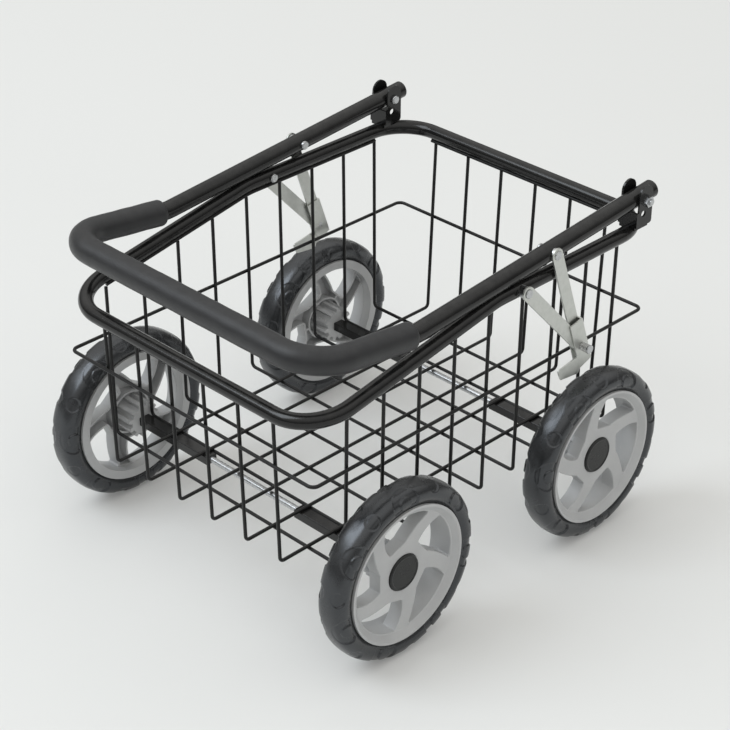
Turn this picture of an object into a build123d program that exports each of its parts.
from build123d import *
from math import acos, atan2, cos, hypot, pi, radians, sin, tan
import os

os.makedirs("parts", exist_ok=True)

# A folding shopping trolley: a wire basket on four wheels, its push handle folded over the basket.
# Millimetres. X runs forward to the grip, Y to the left, Z up from the floor.

# Basket sizes
wire_diameter = 3.5
basket_length = 458.6
basket_width = 336.0
rim_diameter = 15.0
rim_wall = 1.2
rim_corner_radius = 46.0
rim_height = 301.2
rim_bend_behind_middle = 2.7
rim_front_drop = 40.7
rim_bend_radius = 90.0
header_inset = 3.3
cross_wire_count = 9
cross_wire_pitch = 45.8
cross_wire_shift = 0.9
long_wire_count = 6
long_wire_pitch = 46.3
floor_front_inset = 8.2
floor_rear_inset = 10.7
floor_side_inset = 5.5
floor_bend_radius = 5.0
band_height = 204.5
band_corner_radius = 7.0
weld_gap = 0.05

# Handle sizes
handle_diameter = 18.0
handle_wall = 1.2
handle_tail = 20.0
handle_drop_angle = 5.0
handle_lift_angle = 7.2
handle_bend_from_hinge = 307.0
handle_bend_radius = 60.0
grip_from_hinge = 429.7
grip_corner_radius = 41.0
grip_foam_diameter = 26.4
hinge_ahead_of_rear = 25.2
handle_rest_gap = 0.3
plug_flange = 2.0
plug_depth = 9.0

# Hinge bracket sizes
cheek_thickness = 2.0
cheek_width = 20.0
cheek_above_hinge = 15.5
cheek_corner_radius = 3.0
cheek_side_gap = 0.4
web_gap = 1.7
bracket_sink = 2.4
spare_hole_diameter = 6.5
spare_hole_below = 13.0
spare_hole_ahead = 3.0
hinge_bolt_diameter = 6.0
hinge_head_diameter = 9.5
hinge_head_height = 3.0
hinge_nut_flats = 10.0
hinge_nut_height = 5.0
hinge_thread_end = 2.0
running_gap = 0.05

# Knee brace sizes
upper_pivot_from_hinge = 129.7
lower_pivot_from_hinge = 171.2
knee_behind_pivot = 80.5
knee_over_tyre = 34.0
link_width = 14.0
link_thickness = 2.0
link_edge_round = 0.5
pivot_diameter = 5.0
pivot_collar_diameter = 12.0
bolt_head_diameter = 9.0
bolt_head_height = 2.5
rivet_head_height = 1.25
layer_gap = 0.3
rivet_foot = 0.1
lever_inner_thickness = 1.2
lever_outer_thickness = 1.5
lever_web_thickness = 1.5
lever_web_gap = 0.4
lever_front_lip = 1.5
lever_above_knee = 32.0
lever_top_fall = 2.0
lever_below_knee = 23.0
lever_inner_below_knee = 15.0
tab_reach = 37.0
tab_root_below = 7.7
tab_tip_top_below = 2.6
tab_tip_low_below = 15.3
tab_tip_slant = 1.0
tab_heel_ahead = 12.5
tab_heel_below = 26.8
tab_corner_radius = 2.0
spring_wire = 0.9
spring_radius = 3.7
spring_turns = 5
spring_pitch = 1.6

# Wheel sizes, with depths measured from the wheel's middle plane to its outer side
wheel_radius = 90.0
tyre_width = 33.0
tyre_seat_radius = 68.0
tyre_shoulder_inset = 4.5
tyre_shoulder_drop = 3.0
tyre_bead_height = 3.5
lip_height = 2.5
lip_thickness = 2.7
lip_short_of_tyre = 1.0
barrel_wall = 6.5
disc_edge_ledge = 1.0
barrel_flare = 5.5
wheel_beside_rim = 23.2
wheelbase = 274.9
wheelbase_shift = 9.5
axle_diameter = 6.4
disc_inside_depth = -5.0
disc_edge_depth = 10.5
hub_wall = 4.0
hub_face_depth = 8.5
hub_seat_depth = 3.5
gear_teeth = 11
gear_root_radius = 15.0
gear_tip_radius = 19.0
gear_tooth_width = 4.0
gear_end_depth = -26.0
gear_collar_gap = 3.0
gear_collar_wall = 2.0
spoke_wall = 2.0
spoke_skin = 3.0
spoke_rib = 2.0
spoke_end_gap = 1.5
spoke_count = 5
window_hub_gap = 8.0
window_barrel_gap = 0.3
window_heel_rise = 1.0
window_bulge_radius = 46.0
window_corner_radius = 2.0
window_tip_radius = 1.5
window_edge_round = 1.1
window_angles = {"head": 0, "brow": 2, "crown": 9.5, "tail": 64.5, "belly": 53, "heel": 36}
cap_diameter = 37.0
cap_wall = 1.2
cap_side_gap = 0.5
cap_face_depth = 10.2
cap_edge_height = 1.2
cap_edge_width = 3.0
clip_thickness = 1.5
clip_diameter = 16.0
axle_end_gap = 0.7
wheel_spin = {"front_left": 16, "rear_left": -16, "front_right": 29, "rear_right": 43}

# Axle channel sizes
channel_width = 12.5
channel_wall = 1.2
channel_height = 9.0
channel_length = 102.6
channel_outer_gap = 0.4

# Places worked out from the sizes
wire_radius = wire_diameter / 2
rim_radius = rim_diameter / 2
handle_radius = handle_diameter / 2
foam_radius = grip_foam_diameter / 2
front_reach = hinge_ahead_of_rear + grip_from_hinge + foam_radius - basket_length / 2
rear_reach = basket_length / 2 + rim_radius
middle_x = (rear_reach - front_reach) / 2
rim_front_x = middle_x + basket_length / 2
rim_rear_x = middle_x - basket_length / 2
rim_side_y = basket_width / 2
rim_bend_x = middle_x - rim_bend_behind_middle
rim_slope = rim_front_drop / (rim_front_x - rim_bend_x)
rim_fall_angle = atan2(rim_front_drop, rim_front_x - rim_bend_x)
header_drop = ((rim_radius + weld_gap + wire_radius) ** 2 - header_inset**2) ** 0.5
header_side_y = rim_side_y - header_inset
header_front_x = rim_front_x - header_inset
header_rear_x = rim_rear_x + header_inset
wire_top_drop = header_drop + wire_radius + weld_gap
axle_z = wheel_radius
wheel_middle_y = rim_side_y + wheel_beside_rim
channel_top = axle_z + axle_diameter / 2 + running_gap + channel_wall
long_floor_z = channel_top + weld_gap + wire_radius
cross_floor_z = long_floor_z - wire_diameter - weld_gap
floor_front_x = rim_front_x - floor_front_inset
floor_rear_x = rim_rear_x + floor_rear_inset
floor_side_y = rim_side_y - floor_side_inset
front_axle_x = middle_x + wheelbase_shift + wheelbase / 2
rear_axle_x = middle_x + wheelbase_shift - wheelbase / 2

hinge_x = rim_rear_x + hinge_ahead_of_rear
handle_slope = tan(radians(handle_drop_angle))
rest_height = rim_radius + handle_rest_gap + handle_radius / cos(radians(handle_drop_angle))
hinge_z = rim_height + rest_height + handle_slope * (rim_bend_x - hinge_x)
handle_bend_x = hinge_x + handle_bend_from_hinge
handle_bend_z = hinge_z - handle_slope * handle_bend_from_hinge
grip_x = hinge_x + grip_from_hinge
grip_z = handle_bend_z + tan(radians(handle_lift_angle)) * (grip_x - handle_bend_x)

upper_pivot_x = hinge_x + upper_pivot_from_hinge * cos(radians(handle_drop_angle))
upper_pivot_z = hinge_z - upper_pivot_from_hinge * sin(radians(handle_drop_angle))
lower_pivot_x = hinge_x + lower_pivot_from_hinge
lower_pivot_z = rim_height
knee_x = lower_pivot_x - knee_behind_pivot
knee_z = 2 * wheel_radius + knee_over_tyre
upper_link_length = hypot(upper_pivot_x - knee_x, upper_pivot_z - knee_z)
lower_link_length = hypot(lower_pivot_x - knee_x, lower_pivot_z - knee_z)

# Layers of the brace, measured out from the middle of the left tubes
lever_inner_y = rim_side_y + rim_radius + 2 * layer_gap
upper_link_y = max(lever_inner_y + lever_inner_thickness, rim_side_y + handle_radius) + layer_gap
lower_link_y = upper_link_y + link_thickness + layer_gap
lever_outer_y = lower_link_y + link_thickness + layer_gap
lever_face_y = lever_outer_y + lever_outer_thickness
spring_length = spring_turns * spring_pitch
spring_start_y = lever_face_y + layer_gap + spring_wire / 2
knee_head_y = spring_start_y + spring_length + spring_wire / 2 + layer_gap

SIDES = {"left": 1, "right": -1}
ENDS = {"front": front_axle_x, "rear": rear_axle_x}


def rim_z(x):
    """Height of the rim's middle line: level at the back, falling to the front."""
    return rim_height - rim_slope * max(0.0, x - rim_bend_x)


def under_rim(x, depth):
    """Height of a line that runs this far under the rim's middle line, measured square to it."""
    return rim_z(x) - (depth / cos(rim_fall_angle) if x > rim_bend_x else depth)


def bent_route(corners, bends, closed=False):
    """Draw straight runs joined by round bends in the open BuildLine; bends has a radius per corner."""
    points = [Vector(*corner) for corner in corners]
    count = len(points)
    turning = range(count) if closed else range(1, count - 1)
    entries, middles, exits = {}, {}, {}
    for i in turning:
        back = (points[i - 1] - points[i]).normalized()
        ahead = (points[(i + 1) % count] - points[i]).normalized()
        half = acos(back.dot(ahead)) / 2
        inward = (back + ahead).normalized()
        entries[i] = points[i] + back * (bends[i] / tan(half))
        exits[i] = points[i] + ahead * (bends[i] / tan(half))
        middles[i] = points[i] + inward * (bends[i] / sin(half) - bends[i])
    for i in range(count if closed else count - 1):
        following = (i + 1) % count
        Line(exits.get(i, points[i]), entries.get(following, points[following]))
        if following in middles:
            ThreePointArc(entries[following], middles[following], exits[following])


def side_plane(x, y, z):
    """A sketch plane at this place, seen from the right side: local X forward, local Y up."""
    return Plane(origin=(x, y, z), x_dir=(1, 0, 0), z_dir=(0, -1, 0))


def round_bar(x, z, near_y, far_y, radius):
    """Add a round bar along Y to the open BuildPart."""
    with BuildSketch(side_plane(x, far_y, z)) as end_face:
        Circle(radius)
    extrude(end_face.sketch, amount=far_y - near_y)


def cross_hole(x, z, radius):
    """Drill through both sides of the open BuildPart along Y."""
    with BuildSketch(side_plane(x, 0, z)) as hole_face:
        Circle(radius)
    extrude(hole_face.sketch, amount=basket_width, both=True, mode=Mode.SUBTRACT)


def keep(builder, name):
    """Label a piece and write its file."""
    builder.part.label = name
    export_step(builder.part, f"parts/{name}.step")


def keep_pair(builder, name):
    """Write the left piece and its mirror image on the right."""
    keep(builder, f"{name}_left")
    with BuildPart() as other:
        add(mirror(builder.part, about=Plane.XZ, mode=Mode.PRIVATE))
    keep(other, f"{name}_right")


# Rim hoop: a bent tube, level over the back and falling to the front bar
rim_corners = [
    (rim_bend_x, -rim_side_y, rim_height),
    (rim_front_x, -rim_side_y, rim_z(rim_front_x)),
    (rim_front_x, rim_side_y, rim_z(rim_front_x)),
    (rim_bend_x, rim_side_y, rim_height),
    (rim_rear_x, rim_side_y, rim_height),
    (rim_rear_x, -rim_side_y, rim_height),
]
rim_bends = [rim_bend_radius] + 2 * [rim_corner_radius] + [rim_bend_radius] + 2 * [rim_corner_radius]

with BuildPart() as rim_outside:
    with BuildLine() as rim_route:
        bent_route(rim_corners, rim_bends, closed=True)
    with BuildSketch(Plane(origin=rim_route.line @ 0, z_dir=rim_route.line % 0)):
        Circle(rim_radius)
    sweep()

with BuildPart() as rim_hoop:
    with BuildLine() as rim_line:
        bent_route(rim_corners, rim_bends, closed=True)
    with BuildSketch(Plane(origin=rim_line.line @ 0, z_dir=rim_line.line % 0)):
        Circle(rim_radius)
        Circle(rim_radius - rim_wall, mode=Mode.SUBTRACT)
    sweep()
    cross_hole(lower_pivot_x, lower_pivot_z, pivot_diameter / 2 + running_gap)
keep(rim_hoop, "rim_hoop")

# Header wires: welded under the rim's straight runs, towards the inside; the basket wires hang from them
with BuildPart() as header_wires:
    for side in SIDES.values():
        side_start = rim_rear_x + rim_corner_radius
        side_end = rim_front_x - rim_corner_radius
        header_bend_x = rim_bend_x - header_drop * tan(rim_fall_angle / 2)
        side_run = [
            (side_start, side * header_side_y, rim_height - header_drop),
            (header_bend_x, side * header_side_y, rim_height - header_drop),
            (side_end, side * header_side_y, under_rim(side_end, header_drop)),
        ]
        with BuildLine() as side_header:
            bent_route(side_run, [0, rim_bend_radius - header_drop, 0])
        with BuildSketch(Plane(origin=side_header.line @ 0, z_dir=side_header.line % 0)):
            Circle(wire_radius)
        sweep()
    half_run = rim_side_y - rim_corner_radius
    for end_x, end_z in ((header_rear_x, rim_height), (header_front_x, rim_z(rim_front_x))):
        round_bar(end_x, end_z - header_drop, -half_run, half_run, wire_radius)
keep(header_wires, "header_wires")

# Cross wires: each goes down one side, under the long wires and up the other side
with BuildPart() as cross_wires:
    for i in range(cross_wire_count):
        wire_x = middle_x + cross_wire_shift + (i - (cross_wire_count - 1) / 2) * cross_wire_pitch
        wire_top = under_rim(wire_x + wire_radius, wire_top_drop)
        cross_run = [
            (wire_x, -header_side_y, wire_top),
            (wire_x, -floor_side_y, cross_floor_z),
            (wire_x, floor_side_y, cross_floor_z),
            (wire_x, header_side_y, wire_top),
        ]
        with BuildLine() as cross_line:
            bent_route(cross_run, [0, floor_bend_radius, floor_bend_radius, 0])
        with BuildSketch(Plane(origin=cross_line.line @ 0, z_dir=cross_line.line % 0)):
            Circle(wire_radius)
        sweep()
keep(cross_wires, "cross_wires")

# Long wires: each goes down the front, over the cross wires and the axle channels, and up the back
with BuildPart() as long_wires:
    for i in range(long_wire_count):
        wire_y = (i - (long_wire_count - 1) / 2) * long_wire_pitch
        long_run = [
            (header_front_x, wire_y, rim_z(rim_front_x) - wire_top_drop),
            (floor_front_x, wire_y, long_floor_z),
            (floor_rear_x, wire_y, long_floor_z),
            (header_rear_x, wire_y, rim_height - wire_top_drop),
        ]
        with BuildLine() as long_line:
            bent_route(long_run, [0, floor_bend_radius, floor_bend_radius, 0])
        with BuildSketch(Plane(origin=long_line.line @ 0, z_dir=long_line.line % 0)):
            Circle(wire_radius)
        sweep()
keep(long_wires, "long_wires")


def leaning(low, high, low_z, high_z):
    """Place of a leaning wire at the band's height."""
    return low + (high - low) * (band_height - low_z) / (high_z - low_z)


# Band wire: one ring round the outside of the basket at half height
band_side = leaning(floor_side_y, header_side_y, cross_floor_z, rim_z(rim_front_x) - wire_top_drop)
band_front = leaning(floor_front_x, header_front_x, long_floor_z, rim_z(rim_front_x) - wire_top_drop)
band_rear = leaning(floor_rear_x, header_rear_x, long_floor_z, rim_height - wire_top_drop)
band_side_y = band_side + wire_diameter + weld_gap
band_front_x = band_front + wire_diameter + weld_gap
band_rear_x = band_rear - wire_diameter - weld_gap
band_corners = [
    (band_front_x, -band_side_y, band_height),
    (band_front_x, band_side_y, band_height),
    (band_rear_x, band_side_y, band_height),
    (band_rear_x, -band_side_y, band_height),
]
with BuildPart() as band_wire:
    with BuildLine() as band_line:
        bent_route(band_corners, 4 * [band_corner_radius], closed=True)
    with BuildSketch(Plane(origin=band_line.line @ 0, z_dir=band_line.line % 0)):
        Circle(wire_radius)
    sweep()
keep(band_wire, "band_wire")

# Hinge brackets: two cheeks and a front web on a base plate, with a foot saddled on the rim
cheek_y = handle_radius + cheek_side_gap
half_cheek = cheek_width / 2
cheek_below_hinge = hypot(handle_tail + plug_flange, handle_radius) + layer_gap
web_back = handle_radius + web_gap
web_front = web_back + cheek_thickness
web_top = -handle_radius / cos(radians(handle_drop_angle)) - handle_slope * web_front - layer_gap
base_under = -cheek_below_hinge - cheek_thickness
foot_under = rim_height + rim_radius - bracket_sink - hinge_z
with BuildPart() as hinge_bracket:
    crown = cheek_above_hinge - half_cheek
    for cheek_outside in (rim_side_y - cheek_y, rim_side_y + cheek_y + cheek_thickness):
        with BuildSketch(side_plane(hinge_x, cheek_outside, hinge_z)) as cheek_face:
            with BuildLine():
                ThreePointArc((half_cheek, crown), (0, cheek_above_hinge), (-half_cheek, crown))
                Polyline(
                    (-half_cheek, crown),
                    (-half_cheek, base_under),
                    (web_front, base_under),
                    (web_front, web_top),
                    (half_cheek, web_top),
                    (half_cheek, crown),
                )
            make_face()
            fillet(cheek_face.vertices().group_by(Axis.Z)[0].sort_by(Axis.X)[0], cheek_corner_radius)
            Circle(hinge_bolt_diameter / 2 + running_gap, mode=Mode.SUBTRACT)
            with Locations((spare_hole_ahead, -spare_hole_below)):
                Circle(spare_hole_diameter / 2, mode=Mode.SUBTRACT)
        extrude(amount=cheek_thickness)
    with BuildSketch(side_plane(hinge_x, rim_side_y + cheek_y, hinge_z)):
        with Locations((web_back, base_under)):
            Rectangle(cheek_thickness, web_top - base_under, align=(Align.MIN, Align.MIN))
        with Locations((cheek_corner_radius - half_cheek, base_under)):
            Rectangle(web_front + half_cheek - cheek_corner_radius, cheek_thickness, align=(Align.MIN, Align.MIN))
    extrude(amount=2 * cheek_y)
    with BuildSketch(side_plane(hinge_x, rim_side_y + cheek_y, hinge_z)):
        with Locations((cheek_corner_radius - half_cheek, foot_under)):
            Rectangle(web_front + half_cheek - cheek_corner_radius, base_under - foot_under, align=(Align.MIN, Align.MIN))
    extrude(amount=2 * cheek_y)
    add(rim_outside.part, mode=Mode.SUBTRACT)
keep_pair(hinge_bracket, "hinge_bracket")

# Hinge bolts and nuts: pan head inside, nut and thread end outside
hinge_head_y = rim_side_y - cheek_y - cheek_thickness
hinge_nut_y = rim_side_y + cheek_y + cheek_thickness
hinge_bolt_end = hinge_nut_y + hinge_nut_height + hinge_thread_end
with BuildPart() as hinge_bolt:
    round_bar(hinge_x, hinge_z, hinge_head_y, hinge_bolt_end, hinge_bolt_diameter / 2)
    round_bar(hinge_x, hinge_z, hinge_head_y - hinge_head_height, hinge_head_y, hinge_head_diameter / 2)
    fillet(hinge_bolt.edges().filter_by(GeomType.CIRCLE).sort_by(Axis.Y)[0], hinge_head_height / 2)
keep_pair(hinge_bolt, "hinge_bolt")

with BuildPart() as hinge_nut:
    with BuildSketch(side_plane(hinge_x, hinge_nut_y + hinge_nut_height, hinge_z)):
        RegularPolygon(hinge_nut_flats / 2, 6, major_radius=False)
        Circle(hinge_bolt_diameter / 2 + running_gap / 5, mode=Mode.SUBTRACT)
    extrude(amount=hinge_nut_height)
keep_pair(hinge_nut, "hinge_nut")

# Handle tube: a U of bent tube, straight from the hinges, then lifted under the grip
tail_x = hinge_x - handle_tail * cos(radians(handle_drop_angle))
tail_z = hinge_z + handle_tail * sin(radians(handle_drop_angle))
handle_corners = [
    (tail_x, -rim_side_y, tail_z),
    (handle_bend_x, -rim_side_y, handle_bend_z),
    (grip_x, -rim_side_y, grip_z),
    (grip_x, rim_side_y, grip_z),
    (handle_bend_x, rim_side_y, handle_bend_z),
    (tail_x, rim_side_y, tail_z),
]
handle_bends = [0, handle_bend_radius, grip_corner_radius, grip_corner_radius, handle_bend_radius, 0]
with BuildPart() as handle_tube:
    with BuildLine() as handle_line:
        bent_route(handle_corners, handle_bends)
    with BuildSketch(Plane(origin=handle_line.line @ 0, z_dir=handle_line.line % 0)):
        Circle(handle_radius)
        Circle(handle_radius - handle_wall, mode=Mode.SUBTRACT)
    sweep()
    cross_hole(hinge_x, hinge_z, hinge_bolt_diameter / 2 + running_gap)
    cross_hole(upper_pivot_x, upper_pivot_z, pivot_diameter / 2 + running_gap)
keep(handle_tube, "handle_tube")

# Foam grip: a sleeve over the lifted part of the handle
bend_half_turn = radians(handle_drop_angle + handle_lift_angle) / 2
foam_start = handle_bend_radius * tan(bend_half_turn)
foam_start_x = handle_bend_x + foam_start * cos(radians(handle_lift_angle))
foam_start_z = handle_bend_z + foam_start * sin(radians(handle_lift_angle))
foam_corners = [
    (foam_start_x, -rim_side_y, foam_start_z),
    (grip_x, -rim_side_y, grip_z),
    (grip_x, rim_side_y, grip_z),
    (foam_start_x, rim_side_y, foam_start_z),
]
with BuildPart() as foam_grip:
    with BuildLine() as foam_line:
        bent_route(foam_corners, [0, grip_corner_radius, grip_corner_radius, 0])
    with BuildSketch(Plane(origin=foam_line.line @ 0, z_dir=foam_line.line % 0)):
        Circle(foam_radius)
        Circle(handle_radius + running_gap, mode=Mode.SUBTRACT)
    sweep()
keep(foam_grip, "foam_grip")

# End plugs: caps pushed into the rear ends of the handle tube
tail_out = (-cos(radians(handle_drop_angle)), 0, sin(radians(handle_drop_angle)))
with BuildPart() as handle_plug:
    with BuildSketch(Plane(origin=(tail_x, rim_side_y, tail_z), z_dir=tail_out)):
        Circle(handle_radius)
    extrude(amount=plug_flange)
    fillet(handle_plug.faces().sort_by(Axis.X)[0].edges(), plug_flange * 0.75)
    with BuildSketch(Plane(origin=(tail_x, rim_side_y, tail_z), z_dir=tail_out)):
        Circle(handle_radius - handle_wall - running_gap)
    extrude(amount=-plug_depth)
keep_pair(handle_plug, "handle_plug")

# Upper pivot bolts: through the handle, with a collar that the upper link lies against
with BuildPart() as upper_pivot_bolt:
    handle_inside = rim_side_y - handle_radius
    collar_end = upper_link_y - layer_gap
    round_bar(upper_pivot_x, upper_pivot_z, rim_side_y, collar_end, pivot_collar_diameter / 2)
    with BuildSketch(Plane(origin=(upper_pivot_x, rim_side_y, upper_pivot_z), z_dir=tail_out)):
        Circle(handle_radius + running_gap)
    extrude(amount=pivot_collar_diameter, both=True, mode=Mode.SUBTRACT)
    head_start = handle_inside - bolt_head_height
    round_bar(upper_pivot_x, upper_pivot_z, head_start, collar_end, pivot_diameter / 2)
    round_bar(upper_pivot_x, upper_pivot_z, head_start, handle_inside, bolt_head_diameter / 2)
    fillet(upper_pivot_bolt.edges().filter_by(GeomType.CIRCLE).sort_by(Axis.Y)[0], bolt_head_height / 2)
keep_pair(upper_pivot_bolt, "upper_pivot_bolt")

# Lower pivot bolts: through the rim and a spacer, and the lower link turns on them
with BuildPart() as lower_pivot_bolt:
    rim_inside = rim_side_y - rim_radius
    head_start = rim_inside - bolt_head_height
    link_outside = lower_link_y + link_thickness + layer_gap
    bolt_end = link_outside + rivet_head_height
    round_bar(lower_pivot_x, lower_pivot_z, head_start, link_outside, pivot_diameter / 2)
    round_bar(lower_pivot_x, lower_pivot_z, head_start, rim_inside, bolt_head_diameter / 2)
    round_bar(lower_pivot_x, lower_pivot_z, link_outside, bolt_end, bolt_head_diameter / 2)
    round_edges = lower_pivot_bolt.edges().filter_by(GeomType.CIRCLE).sort_by(Axis.Y)
    fillet(round_edges[0], bolt_head_height / 2)
    fillet(round_edges[-1], rivet_head_height / 2)
keep_pair(lower_pivot_bolt, "lower_pivot_bolt")

with BuildPart() as pivot_spacer:
    spacer_end = lower_link_y - layer_gap
    round_bar(lower_pivot_x, lower_pivot_z, rim_side_y, spacer_end, pivot_collar_diameter / 2)
    with BuildSketch(side_plane(lower_pivot_x, spacer_end, lower_pivot_z)):
        Circle(pivot_diameter / 2 + running_gap)
    extrude(amount=spacer_end - rim_side_y, mode=Mode.SUBTRACT)
    with BuildSketch(Plane(origin=(lower_pivot_x, rim_side_y, lower_pivot_z), z_dir=(1, 0, 0))):
        Circle(rim_radius + weld_gap)
    extrude(amount=pivot_collar_diameter, both=True, mode=Mode.SUBTRACT)
keep_pair(pivot_spacer, "pivot_spacer")


def flat_link(end_x, end_z, inner_y):
    """A flat bar with round ends from the knee to this pivot, with a hole at each end."""
    reach = hypot(end_x - knee_x, end_z - knee_z)
    bar_plane = Plane(
        origin=(knee_x, inner_y + link_thickness, knee_z),
        x_dir=(end_x - knee_x, 0, end_z - knee_z),
        z_dir=(0, -1, 0),
    )
    with BuildPart() as link:
        with BuildSketch(bar_plane):
            with Locations((reach / 2, 0)):
                SlotCenterToCenter(reach, link_width)
            with Locations((0, 0), (reach, 0)):
                Circle(pivot_diameter / 2 + running_gap, mode=Mode.SUBTRACT)
        extrude(amount=link_thickness)
        fillet(link.faces().sort_by(Axis.Y)[-1].outer_wire().edges(), link_edge_round)
    return link


# Links of the knee brace: the upper one next to the handle, the lower one outside it
upper_link = flat_link(upper_pivot_x, upper_pivot_z, upper_link_y)
keep_pair(upper_link, "upper_link")
lower_link = flat_link(lower_pivot_x, lower_pivot_z, lower_link_y)
keep_pair(lower_link, "lower_link")

# Link rivets: the upper link's own rivet, which meets the collar on the handle
with BuildPart() as link_rivet:
    link_face = upper_link_y + link_thickness
    rivet_top = link_face + rivet_head_height
    round_bar(upper_pivot_x, upper_pivot_z, upper_link_y, rivet_top, pivot_diameter / 2)
    round_bar(upper_pivot_x, upper_pivot_z, link_face, rivet_top, bolt_head_diameter / 2)
    fillet(link_rivet.edges().filter_by(GeomType.CIRCLE).sort_by(Axis.Y)[-1], rivet_head_height / 2)
keep_pair(link_rivet, "link_rivet")

# Knee rivets: pass through the lever and both links, and hold the spring
with BuildPart() as knee_rivet:
    knee_top = knee_head_y + rivet_head_height
    round_bar(knee_x, knee_z, lever_inner_y - rivet_foot, knee_top, pivot_diameter / 2)
    round_bar(knee_x, knee_z, knee_head_y, knee_top, bolt_head_diameter / 2)
    fillet(knee_rivet.edges().filter_by(GeomType.CIRCLE).sort_by(Axis.Y)[-1], rivet_head_height / 2)
keep_pair(knee_rivet, "knee_rivet")


def lever_plane(y):
    """A plane at the knee with local X forward and local Y up along the upper link."""
    ahead = (upper_pivot_z - knee_z, 0, knee_x - upper_pivot_x)
    return Plane(origin=(knee_x, y, knee_z), x_dir=ahead, z_dir=(0, -1, 0))


# Lock levers: a channel over the knee with a finger tab, standing along the upper link
web_inside = -link_width / 2 - lever_web_gap
web_outside = web_inside - lever_web_thickness
lever_front = link_width / 2 + lever_front_lip
lever_rear_top = lever_above_knee - lever_top_fall
with BuildPart() as lock_lever:
    with BuildSketch(lever_plane(lever_face_y)) as outer_flange:
        with BuildLine():
            Polyline(
                (web_outside, -lever_below_knee),
                (web_outside, lever_rear_top),
                (lever_front, lever_above_knee),
                (lever_front, -tab_root_below),
                (tab_reach, -tab_tip_top_below),
                (tab_reach - tab_tip_slant, -tab_tip_low_below),
                (tab_heel_ahead, -tab_heel_below),
                (lever_front, -lever_below_knee),
                close=True,
            )
        make_face()
        fillet(outer_flange.vertices().filter_by(lambda v: v.X > lever_front), tab_corner_radius)
        Circle(pivot_diameter / 2 + running_gap, mode=Mode.SUBTRACT)
    extrude(amount=lever_outer_thickness)
    with BuildSketch(lever_plane(lever_inner_y + lever_inner_thickness)):
        with BuildLine():
            Polyline(
                (web_outside, -lever_inner_below_knee),
                (web_outside, lever_rear_top),
                (lever_front, lever_above_knee),
                (lever_front, -lever_inner_below_knee),
                close=True,
            )
        make_face()
        Circle(pivot_diameter / 2 + running_gap, mode=Mode.SUBTRACT)
    extrude(amount=lever_inner_thickness)
    with BuildSketch(lever_plane(lever_outer_y)):
        with Locations((web_outside, 0)):
            Rectangle(lever_web_thickness, lever_rear_top, align=(Align.MIN, Align.MIN))
    extrude(amount=lever_outer_y - lever_inner_y - lever_inner_thickness)
keep_pair(lock_lever, "lock_lever")


def helix_point(turn_count):
    """A point on the spring's middle line after this many turns from its inner end."""
    angle = 2 * pi * turn_count
    return Vector(
        knee_x + spring_radius * cos(angle),
        spring_start_y + spring_pitch * turn_count,
        knee_z + spring_radius * sin(angle),
    )


def helix_heading(turn_count):
    """The direction of the spring's wire after this many turns."""
    angle = 2 * pi * turn_count
    run = 2 * pi * spring_radius
    return Vector(-run * sin(angle), spring_pitch, run * cos(angle)).normalized()


def biarc(start, start_heading, end, end_heading):
    """Draw two arcs that leave and arrive along the given headings."""
    chord = end - start
    both = start_heading + end_heading
    spread = 2 * (1 - start_heading.dot(end_heading))
    lean = chord.dot(both)
    arm = ((lean**2 + spread * chord.dot(chord)) ** 0.5 - lean) / spread
    joint = (start + start_heading * arm + end - end_heading * arm) * 0.5
    first = TangentArc(start, joint, tangent=start_heading)
    TangentArc(joint, end, tangent=first % 1)


# Lock springs: a coil on the knee rivet, between the lever and the rivet's head
with BuildPart() as lock_spring:
    with BuildLine() as spring_line:
        for quarter in range(4 * spring_turns):
            begin, finish = quarter / 4, (quarter + 1) / 4
            biarc(helix_point(begin), helix_heading(begin), helix_point(finish), helix_heading(finish))
    with BuildSketch(Plane(origin=spring_line.line @ 0, z_dir=spring_line.line % 0)):
        Circle(spring_wire / 2)
    sweep()
keep_pair(lock_spring, "lock_spring")

spring_steps = 24
spring_points = [helix_point(i / spring_steps) for i in range(spring_turns * spring_steps + 1)]
spring_gap = min(
    (spring_points[i] - spring_points[j]).length - spring_wire
    for i in range(len(spring_points))
    for j in range(i + spring_steps // 2, len(spring_points))
)
print("lock spring least gap to itself", round(spring_gap, 2), "mm")

# Wheel pieces are drawn once round the Y axis, with the outer face to +Y, then placed at the axles
lip_radius = tyre_seat_radius + lip_height
barrel_radius = tyre_seat_radius - barrel_wall
barrel_half = tyre_width / 2 - lip_short_of_tyre
bead_half = barrel_half - lip_thickness
cap_radius = cap_diameter / 2
cap_seat_radius = cap_radius + cap_side_gap
hub_radius = cap_seat_radius + hub_wall
bore_radius = axle_diameter / 2 + running_gap
window_in = hub_radius + window_hub_gap
window_out = barrel_radius - window_barrel_gap
disc_edge_radius = barrel_radius + disc_edge_ledge
gear_start_depth = hub_seat_depth - spoke_skin
collar_in = gear_tip_radius + gear_collar_gap
collar_out = collar_in + gear_collar_wall
hollow_depth = hub_face_depth - spoke_skin


def window_point(radius, angle):
    """A point of the wheel window's outline, the angle in degrees from the window's head side."""
    return (radius * cos(radians(angle)), radius * sin(radians(angle)))


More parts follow.
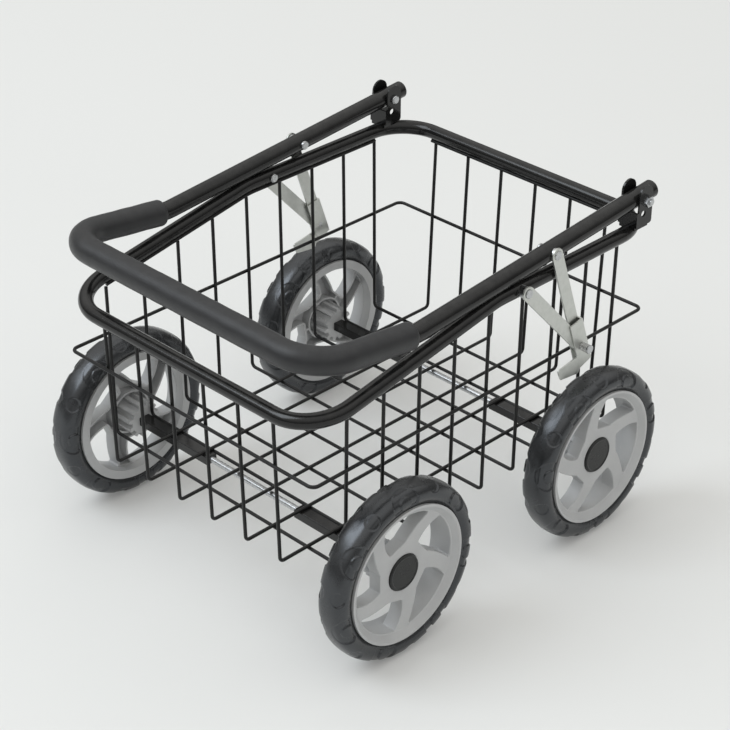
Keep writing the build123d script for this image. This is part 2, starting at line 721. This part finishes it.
with BuildSketch(Plane.XZ) as wheel_window:
    with BuildLine():
        head = window_point(window_in, window_angles["head"])
        brow = window_point(window_bulge_radius, window_angles["brow"])
        crown_start = window_point(window_out, window_angles["crown"])
        crown_middle = window_point(window_out, (window_angles["crown"] + window_angles["tail"]) / 2)
        tail_tip = window_point(window_out, window_angles["tail"])
        belly = window_point(window_bulge_radius, window_angles["belly"])
        heel = window_point(window_in + window_heel_rise, window_angles["heel"])
        ThreePointArc(head, brow, crown_start)
        ThreePointArc(crown_start, crown_middle, tail_tip)
        ThreePointArc(tail_tip, belly, heel)
        Line(heel, head)
    make_face()
    fillet(wheel_window.vertices().sort_by_distance((0, 0))[:2], window_corner_radius)
    fillet(wheel_window.vertices().sort_by_distance((0, 0))[-2:], window_tip_radius)

with BuildSketch(Plane.XZ) as window_wall:
    add(wheel_window.sketch_local)
    offset(amount=spoke_wall)

with BuildPart() as wheel_rim:
    with BuildSketch(Plane.YZ):
        with BuildLine():
            Polyline(
                (-barrel_half, barrel_radius),
                (disc_inside_depth, barrel_radius),
                (disc_inside_depth, collar_in),
                (gear_start_depth, collar_in),
                (gear_start_depth, gear_root_radius),
                (gear_end_depth, gear_root_radius),
                (gear_end_depth, bore_radius),
                (hub_seat_depth, bore_radius),
                (hub_seat_depth, cap_seat_radius),
                (hub_face_depth, cap_seat_radius),
                (hub_face_depth, hub_radius),
                (disc_edge_depth, disc_edge_radius),
                (barrel_half, disc_edge_radius + barrel_flare),
                (barrel_half, lip_radius),
                (bead_half, lip_radius),
                (bead_half, tyre_seat_radius),
                (-bead_half, tyre_seat_radius),
                (-bead_half, lip_radius),
                (-barrel_half, lip_radius),
                close=True,
            )
        make_face()
    revolve(axis=Axis.Y)
    # Gear teeth round the inner hub
    with BuildSketch(side_plane(0, gear_start_depth, 0)):
        with PolarLocations(0, gear_teeth):
            with Locations((bore_radius + axle_diameter / 2, 0)):
                tooth_length = gear_tip_radius - bore_radius - axle_diameter / 2
                Rectangle(tooth_length, gear_tooth_width, align=(Align.MIN, Align.CENTER))
    extrude(amount=gear_start_depth - gear_end_depth)
    # Windows between the swept spokes
    with BuildSketch(Plane.XZ):
        with PolarLocations(0, spoke_count):
            add(wheel_window.sketch_local)
    extrude(amount=tyre_width, both=True, mode=Mode.SUBTRACT)
    disc_front = wheel_rim.faces().filter_by(GeomType.CONE).sort_by(SortBy.AREA)[-1]
    window_edges = disc_front.edges().filter_by(lambda e: e.geom_type not in (GeomType.CIRCLE, GeomType.LINE))
    fillet(window_edges, window_edge_round)
    # Spokes hollow on the inner side, with a rib from the gear's collar to each window
    with BuildSketch(side_plane(0, hollow_depth, 0)):
        Circle(barrel_radius - spoke_end_gap)
        Circle(collar_out, mode=Mode.SUBTRACT)
        with PolarLocations(0, spoke_count):
            add(window_wall.sketch_local, mode=Mode.SUBTRACT)
        with PolarLocations(0, spoke_count, start_angle=window_angles["heel"] / 2):
            with Locations((collar_in, 0)):
                Rectangle(window_in - collar_in, spoke_rib, align=(Align.MIN, Align.CENTER), mode=Mode.SUBTRACT)
    extrude(amount=hollow_depth - disc_inside_depth, mode=Mode.SUBTRACT)

with BuildPart() as tyre:
    with BuildSketch(Plane.YZ):
        with BuildLine():
            shoulder_half = tyre_width / 2 - tyre_shoulder_inset
            side_radius = (tyre_seat_radius + wheel_radius) / 2
            shoulder_radius = wheel_radius - tyre_shoulder_drop
            bead_radius = tyre_seat_radius + tyre_bead_height
            for way in (-1, 1):
                Line((0, tyre_seat_radius), (way * bead_half, tyre_seat_radius))
                Line((way * bead_half, tyre_seat_radius), (way * bead_half, bead_radius))
                ThreePointArc(
                    (way * bead_half, bead_radius),
                    (way * tyre_width / 2, side_radius),
                    (way * shoulder_half, shoulder_radius),
                )
            ThreePointArc((-shoulder_half, shoulder_radius), (0, wheel_radius), (shoulder_half, shoulder_radius))
        make_face()
    revolve(axis=Axis.Y)

with BuildPart() as hub_cap:
    with BuildSketch(Plane.YZ):
        with BuildLine():
            cap_edge = (cap_face_depth - cap_edge_height, cap_radius)
            cap_flat = (cap_face_depth, cap_radius - cap_edge_width)
            Polyline(
                cap_flat,
                (cap_face_depth, 0),
                (hub_face_depth, 0),
                (hub_face_depth, cap_radius - cap_wall),
                (hub_seat_depth, cap_radius - cap_wall),
                (hub_seat_depth, cap_radius),
                cap_edge,
            )
            TangentArc(cap_edge, cap_flat, tangent=(1, 0))
        make_face()
    revolve(axis=Axis.Y)

for end, axle_x in ENDS.items():
    for side, sign in SIDES.items():
        corner = f"{end}_{side}"
        facing = Rot(0, 0, 0 if sign > 0 else 180)
        place = Pos(axle_x, sign * wheel_middle_y, axle_z) * facing * Rot(0, wheel_spin[corner], 0)
        for piece, name in ((wheel_rim, "wheel_rim"), (tyre, "tyre"), (hub_cap, "hub_cap")):
            with BuildPart() as placed:
                add(place * piece.part)
            keep(placed, f"{name}_{corner}")

# Axles, the clips that hold the wheels on, and the channels under the basket floor
clip_start = wheel_middle_y + hub_seat_depth + layer_gap
clip_end = clip_start + clip_thickness
axle_end = wheel_middle_y + hub_face_depth - axle_end_gap
channel_end = wheel_middle_y + gear_end_depth - channel_outer_gap
channel_inner_end = channel_end - channel_length
for end, axle_x in ENDS.items():
    with BuildPart() as axle:
        round_bar(axle_x, axle_z, -axle_end, axle_end, axle_diameter / 2)
        chamfer(axle.edges().filter_by(GeomType.CIRCLE), axle_diameter / 10)
    keep(axle, f"{end}_axle")
    with BuildPart() as axle_clip:
        round_bar(axle_x, axle_z, clip_start, clip_end, clip_diameter / 2)
        with BuildSketch(side_plane(axle_x, clip_end, axle_z)):
            Circle(axle_diameter / 2 + running_gap / 5)
        extrude(amount=clip_thickness, mode=Mode.SUBTRACT)
    keep_pair(axle_clip, f"{end}_axle_clip")
    with BuildPart() as axle_channel:
        with BuildSketch(side_plane(axle_x, channel_end, channel_top)):
            Rectangle(channel_width, channel_height, align=(Align.CENTER, Align.MAX))
        extrude(amount=channel_end - channel_inner_end)
        with BuildSketch(side_plane(axle_x, channel_end - channel_wall, channel_top - channel_wall)):
            Rectangle(channel_width - 2 * channel_wall, channel_height, align=(Align.CENTER, Align.MAX))
        extrude(amount=channel_end - channel_inner_end - 2 * channel_wall, mode=Mode.SUBTRACT)
        fillet(axle_channel.faces().sort_by(Axis.Z)[-1].edges().filter_by(Axis.Y), channel_wall)
        with BuildSketch(side_plane(axle_x, channel_end, axle_z)):
            Circle(axle_diameter / 2 + running_gap)
        extrude(amount=channel_end - channel_inner_end, mode=Mode.SUBTRACT)
    keep_pair(axle_channel, f"{end}_axle_channel")
